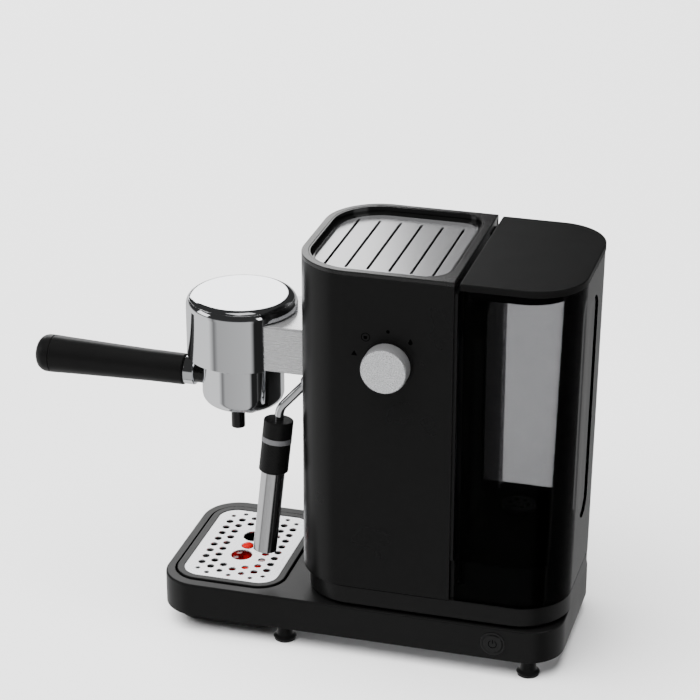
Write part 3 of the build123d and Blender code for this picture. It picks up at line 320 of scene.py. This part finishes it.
def knurl(angle, radius, height):
    """Fine upright ribs on the knob's rim."""
    if radius < (KNOB_RADIUS - 0.4) * MM:
        return radius
    return radius - RIB_DEPTH * MM * (0.5 + 0.5 * cos(RIBS * angle))


skirt = [(0, 0), (KNOB_RADIUS - 0.6, 0), (KNOB_RADIUS, 0.5), (KNOB_RADIUS, RIM_DEPTH - 0.6),
         (KNOB_RADIUS - 0.3, RIM_DEPTH), (0, RIM_DEPTH)]
# The face is slightly hollow inside a raised edge.
cap = [(0, 11.9), (16.2, 11.9), (16.5, 12.2), (16.3, 12.7), (15.8, 12.85)]
cap += [(15.2, 12.7), (9, 12.55), (0, 12.5)]
spindle = [(0, -10), (3, -10), (3, 0.2), (0, 0.2)]
facing = along_axis((knob_x, knob_face + KNOB_DEPTH * MM, knob_z), (0, -1, 0))
knob = spun_piece("knob_rim", skirt, facing, "knob", "aluminium", RIBS * 6, knurl)
knob_cap = spun_piece("knob_face", cap, facing, "knob", "silver_plate", 128)
shaft = spun_piece("knob_spindle", spindle, facing, "knob", "aluminium", 48)
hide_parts("knob")


MARK_REACH = 25.6       # from the knob's axis to each mark
LIFT = 0.06             # how far a mark stands out of its face
SINK = 0.3              # how far it reaches into it
STEAM, BREW, OFF, WATER = -76, -40, 0, 40    # degrees round the knob


def raised_outline(bm, points, place):
    """Thin raised shape on a face, from a closed outline of (x, z) points."""
    under = [bm.verts.new(place @ Vector((x * MM, z * MM, -SINK * MM))) for x, z in points]
    over = [bm.verts.new(place @ Vector((x * MM, z * MM, LIFT * MM))) for x, z in points]
    bm.faces.new(under)
    bm.faces.new(over)
    for k in range(len(points)):
        n = (k + 1) % len(points)
        bm.faces.new([under[k], under[n], over[n], over[k]])


def band(bm, radius, width, place, start=0.0, end=360.0, steps=48):
    """Thin raised ring or arc on a face."""
    whole = abs(end - start) >= 360
    count = steps if whole else steps + 1
    inner = (radius - width / 2) * MM
    outer = (radius + width / 2) * MM
    section = [(inner, -SINK * MM), (outer, -SINK * MM), (outer, LIFT * MM), (inner, LIFT * MM)]
    rings = []
    for k in range(count):
        a = radians(start + (end - start) * k / steps)
        rings.append([bm.verts.new(place @ Vector((r * cos(a), r * sin(a), h))) for r, h in section])
    for k in range(steps):
        this, after = rings[k], rings[(k + 1) % count]
        for j in range(4):
            bm.faces.new([this[j], this[(j + 1) % 4], after[(j + 1) % 4], after[j]])
    if not whole:
        bm.faces.new(rings[0])
        bm.faces.new(rings[-1])


def disc_points(radius, steps=24):
    angles = [2 * pi * k / steps for k in range(steps)]
    return [(radius * cos(a), radius * sin(a)) for a in angles]


def facing_side(x, y, z):
    """Frame on a face that looks along -Y: its X is the machine's X, its Y is up."""
    return Matrix(((1, 0, 0, x), (0, 0, -1, y), (0, 1, 0, z), (0, 0, 0, 1)))


side_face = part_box("column_shell")[0][1]


def mark_place(angle):
    reach = MARK_REACH * MM
    turn = radians(angle)
    return facing_side(knob_x + reach * sin(turn), side_face, knob_z + reach * cos(turn))


triangle = [(-2.2, -1.6), (2.2, -1.6), (0, 2.2)]
cup = [(-1.5, 0.7), (1.2, 0.7), (1.0, -1.0), (0.5, -1.5), (-0.8, -1.5), (-1.3, -1.0)]
drop = arc((0, -0.7), 1.6, -210, 30, 16) + [(0, 2.4)]
marks = bmesh.new()
raised_outline(marks, triangle, mark_place(STEAM))
band(marks, 3.1, 0.45, mark_place(BREW))
raised_outline(marks, cup, mark_place(BREW))
raised_outline(marks, disc_points(1.3), mark_place(OFF))
raised_outline(marks, drop, mark_place(WATER))
finish_mesh("dial_marks", marks, "machine", "mark_black")

low, high = corners(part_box("power_button"))
button = facing_side((low.x + high.x) / 2, low.y, (low.z + high.z) / 2)
stroke = [(-0.3, 0.6), (0.3, 0.6), (0.3, 3.9), (-0.3, 3.9)]
mark = bmesh.new()
band(mark, 3.0, 0.6, button, 120, 420)
raised_outline(mark, stroke, button)
finish_mesh("button_mark", mark, "power_button", "mark_black")


# ---------------------------------------------------------------- steam wand grip
GRIP_HALF = 20.7        # half the grip's length
GRIP_RADIUS = 11.3
GRIP_BORE = 3.5
BAND_RADIUS = 10.8      # groove that the grey band sits in
ROUGH_LOW = 1.3 - GRIP_HALF
ROUGH_HIGH = 2.6
BUMPS = 22              # round the grip
BUMP_PITCH = 2.6        # along it
BUMP_DEPTH = 0.22

sleeve_low, sleeve_high = corners(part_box("wand_sleeve"))
grip_low, grip_high = corners(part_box("wand_grip"))
sleeve_middle = (sleeve_low + sleeve_high) / 2
grip_middle = (grip_low + grip_high) / 2
grip_place = along_axis(grip_middle, (grip_middle - sleeve_middle).normalized())


def chequered(angle, radius, height):
    """Small bumps in staggered rows on the lower half of the grip."""
    z = height / MM
    if not ROUGH_LOW < z < ROUGH_HIGH:
        return radius
    return radius - BUMP_DEPTH * MM * (1 - cos(BUMPS * angle) * cos(2 * pi * z / BUMP_PITCH))


rows = int((ROUGH_HIGH - ROUGH_LOW) / BUMP_PITCH * 4)
cover = [(GRIP_BORE, -GRIP_HALF), (10.2, -GRIP_HALF), (GRIP_RADIUS - 0.05, 1 - GRIP_HALF)]
cover += [(GRIP_RADIUS, ROUGH_LOW + 0.2 + k * BUMP_PITCH / 4) for k in range(rows)]
cover += [(GRIP_RADIUS, 2.9), (BAND_RADIUS, 3.2), (BAND_RADIUS, 7.4), (GRIP_RADIUS, 7.7)]
cover += arc((GRIP_RADIUS - 1, GRIP_HALF - 1), 1.0, 0, 90)
cover += [(GRIP_BORE, GRIP_HALF)]
wand_grip = spun_piece("wand_grip_cover", cover, grip_place, "steam_wand", "black_plastic",
                       BUMPS * 6, chequered)
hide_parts("wand_grip")


# ---------------------------------------------------------------- feet and float
def many_spun(name, profile, places, body, material):
    """One piece made of several equal solids of revolution."""
    bm = bmesh.new()
    for place in places:
        spin(bm, [(r * MM, z * MM) for r, z in profile], place, 64)
    return finish_mesh(name, bm, body, material)


FOOT_RADIUS = 8.8
FOOT_ROUNDING = 0.8
FOOT_BOTTOM, FOOT_TOP = 1.6, 15

low, high = corners(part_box("feet"))
inset = FOOT_RADIUS * MM
foot_places = []
for x in (low.x + inset, high.x - inset):
    for y in (low.y + inset, high.y - inset):
        foot_places.append(Matrix.Translation((x, y, 0)))
flat = FOOT_RADIUS - FOOT_ROUNDING
foot = [(0, FOOT_BOTTOM), (flat, FOOT_BOTTOM)]
foot += arc((flat, FOOT_BOTTOM + FOOT_ROUNDING), FOOT_ROUNDING, -90, 60)
foot += [(6.6, 4.6), (6.0, 7), (5.8, FOOT_TOP), (0, FOOT_TOP)]
feet = many_spun("foot_cups", foot, foot_places, "machine", "black_plastic")
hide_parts("feet")

FLOAT_RADIUS = 17.0
FLOAT_TOP = 21.2        # of the wide part
STEM_RADIUS = 4.6
DOME = 5.4              # radius of the stem's domed tip

low, high = corners(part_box("level_float"))
height = (high.z - low.z) / MM
bob = [(0, 0)]
bob += arc((FLOAT_RADIUS - 2, 2), 2.0, -90, 0)
bob += arc((FLOAT_RADIUS - 1, FLOAT_TOP - 1), 1.0, 0, 90)
bob += [(STEM_RADIUS + 0.8, FLOAT_TOP), (STEM_RADIUS, FLOAT_TOP + 0.8), (STEM_RADIUS, height - 2.4)]
bob += arc((0, height - DOME), DOME, 32, 88)
bob += [(0, height)]
float_place = Matrix.Translation(((low.x + high.x) / 2, (low.y + high.y) / 2, low.z))
bobber = spun_piece("float_bob", bob, float_place, "level_float", "red")
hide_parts("level_float")


# ---------------------------------------------------------------- stage, light and camera
def plane(name, half, material):
    """Level square on the counter, reaching half its width each way."""
    bm = bmesh.new()
    bmesh.ops.create_grid(bm, x_segments=1, y_segments=1, size=half)
    mesh = bpy.data.meshes.new(name)
    bm.to_mesh(mesh)
    bm.free()
    made = bpy.data.objects.new(name, mesh)
    mesh.materials.append(material)
    bpy.context.collection.objects.link(made)
    return made


def softbox(name, place, size, power, target=(0, 0, 0.16)):
    """Rectangular area light turned to the middle of the object."""
    lamp = bpy.data.lights.new(name, "AREA")
    lamp.shape = "RECTANGLE"
    lamp.size, lamp.size_y = size
    lamp.energy = power
    made = bpy.data.objects.new(name, lamp)
    made.location = place
    made.rotation_euler = (Vector(target) - Vector(place)).to_track_quat("-Z", "Y").to_euler()
    bpy.context.collection.objects.link(made)


paper = Material("paper", (0.92, 0.92, 0.92), 0.6)
paper.bump(paper.noise(300), 0.0001, 0.1)
floor = plane("floor", 8, paper.data)
floor.visible_glossy = False


def studio_world(dim, panels):
    """A dim studio with soft panels round the object below eye level, as (bearing, strength) stops."""
    world = bpy.data.worlds.new("studio")
    world.use_nodes = True
    tree = world.node_tree

    def node(kind, source, target=0, **settings):
        made = tree.nodes.new(kind)
        for key, value in settings.items():
            setattr(made, key, value)
        if source:
            tree.links.new(source, made.inputs[target])
        return made

    direction = node("ShaderNodeTexCoord", None)
    parts = node("ShaderNodeSeparateXYZ", direction.outputs["Generated"])
    bearing = node("ShaderNodeMath", parts.outputs["Y"], operation="ARCTAN2")
    tree.links.new(parts.outputs["X"], bearing.inputs[1])
    turn = node("ShaderNodeMapRange", bearing.outputs[0], "Value")
    turn.inputs["From Min"].default_value = -pi
    turn.inputs["From Max"].default_value = pi
    ring = node("ShaderNodeValToRGB", turn.outputs["Result"], "Fac")
    stops = ring.color_ramp.elements
    while len(stops) < len(panels):
        stops.new(0.5)
    for stop, (degrees, strength) in zip(stops, panels):
        stop.position = (degrees + 180) / 360
        stop.color = (strength, strength, strength, 1)
    low = node("ShaderNodeMapRange", parts.outputs["Z"], "Value", interpolation_type="SMOOTHSTEP")
    for key, number in (("From Min", 0.12), ("From Max", -0.05), ("To Min", 0.0), ("To Max", 1.0)):
        low.inputs[key].default_value = number
    mix = node("ShaderNodeMixRGB", low.outputs["Result"], "Fac")
    mix.inputs["Color1"].default_value = (dim, dim, dim, 1)
    tree.links.new(ring.outputs["Color"], mix.inputs["Color2"])
    tree.links.new(mix.outputs["Color"], tree.nodes["Background"].inputs["Color"])
    bpy.context.scene.world = world


PANELS = [(-180, 1.0), (-145, 1.0), (-133, 0.2), (-124, 0.5), (-56, 0.62), (-48, 0.02), (-25, 0.02),
          (-12, 0.3), (30, 0.6), (80, 0.6), (120, 0.9), (180, 1.0)]
studio_world(0.04, PANELS)

softbox("back_softbox", (-1.35, 2.3, 1.3), (1.6, 1.3), 26)
softbox("left_softbox", (-2.2, -0.8, 1.1), (1.2, 0.9), 7)
softbox("right_softbox", (2.0, -0.9, 1.1), (1.4, 0.9), 10)
softbox("top_softbox", (-0.1, 0.1, 2.4), (0.9, 0.9), 3)

# A very wide sun stands in for a white ceiling; polished pieces don't mirror it.
sun = bpy.data.lights.new("sky", "SUN")
sun.energy = 10.0
sun.angle = radians(70)
sun_object = bpy.data.objects.new("sky", sun)
sun_object.rotation_euler = (radians(12), radians(-14), 0)
sun_object.visible_glossy = False
bpy.context.collection.objects.link(sun_object)

CAMERA_PLACE = (0.4898, -1.5983, 0.9602)
CAMERA_DOWN = 23.941    # degrees below level
CAMERA_TURN = 15.865    # degrees from square to the knob's side

camera = bpy.data.cameras.new("camera")
camera.sensor_width = 36
camera.lens = 125.86
camera_object = bpy.data.objects.new("camera", camera)
camera_object.location = CAMERA_PLACE
camera_object.rotation_euler = (radians(90 - CAMERA_DOWN), 0, radians(CAMERA_TURN))
bpy.context.collection.objects.link(camera_object)
bpy.context.scene.camera = camera_object
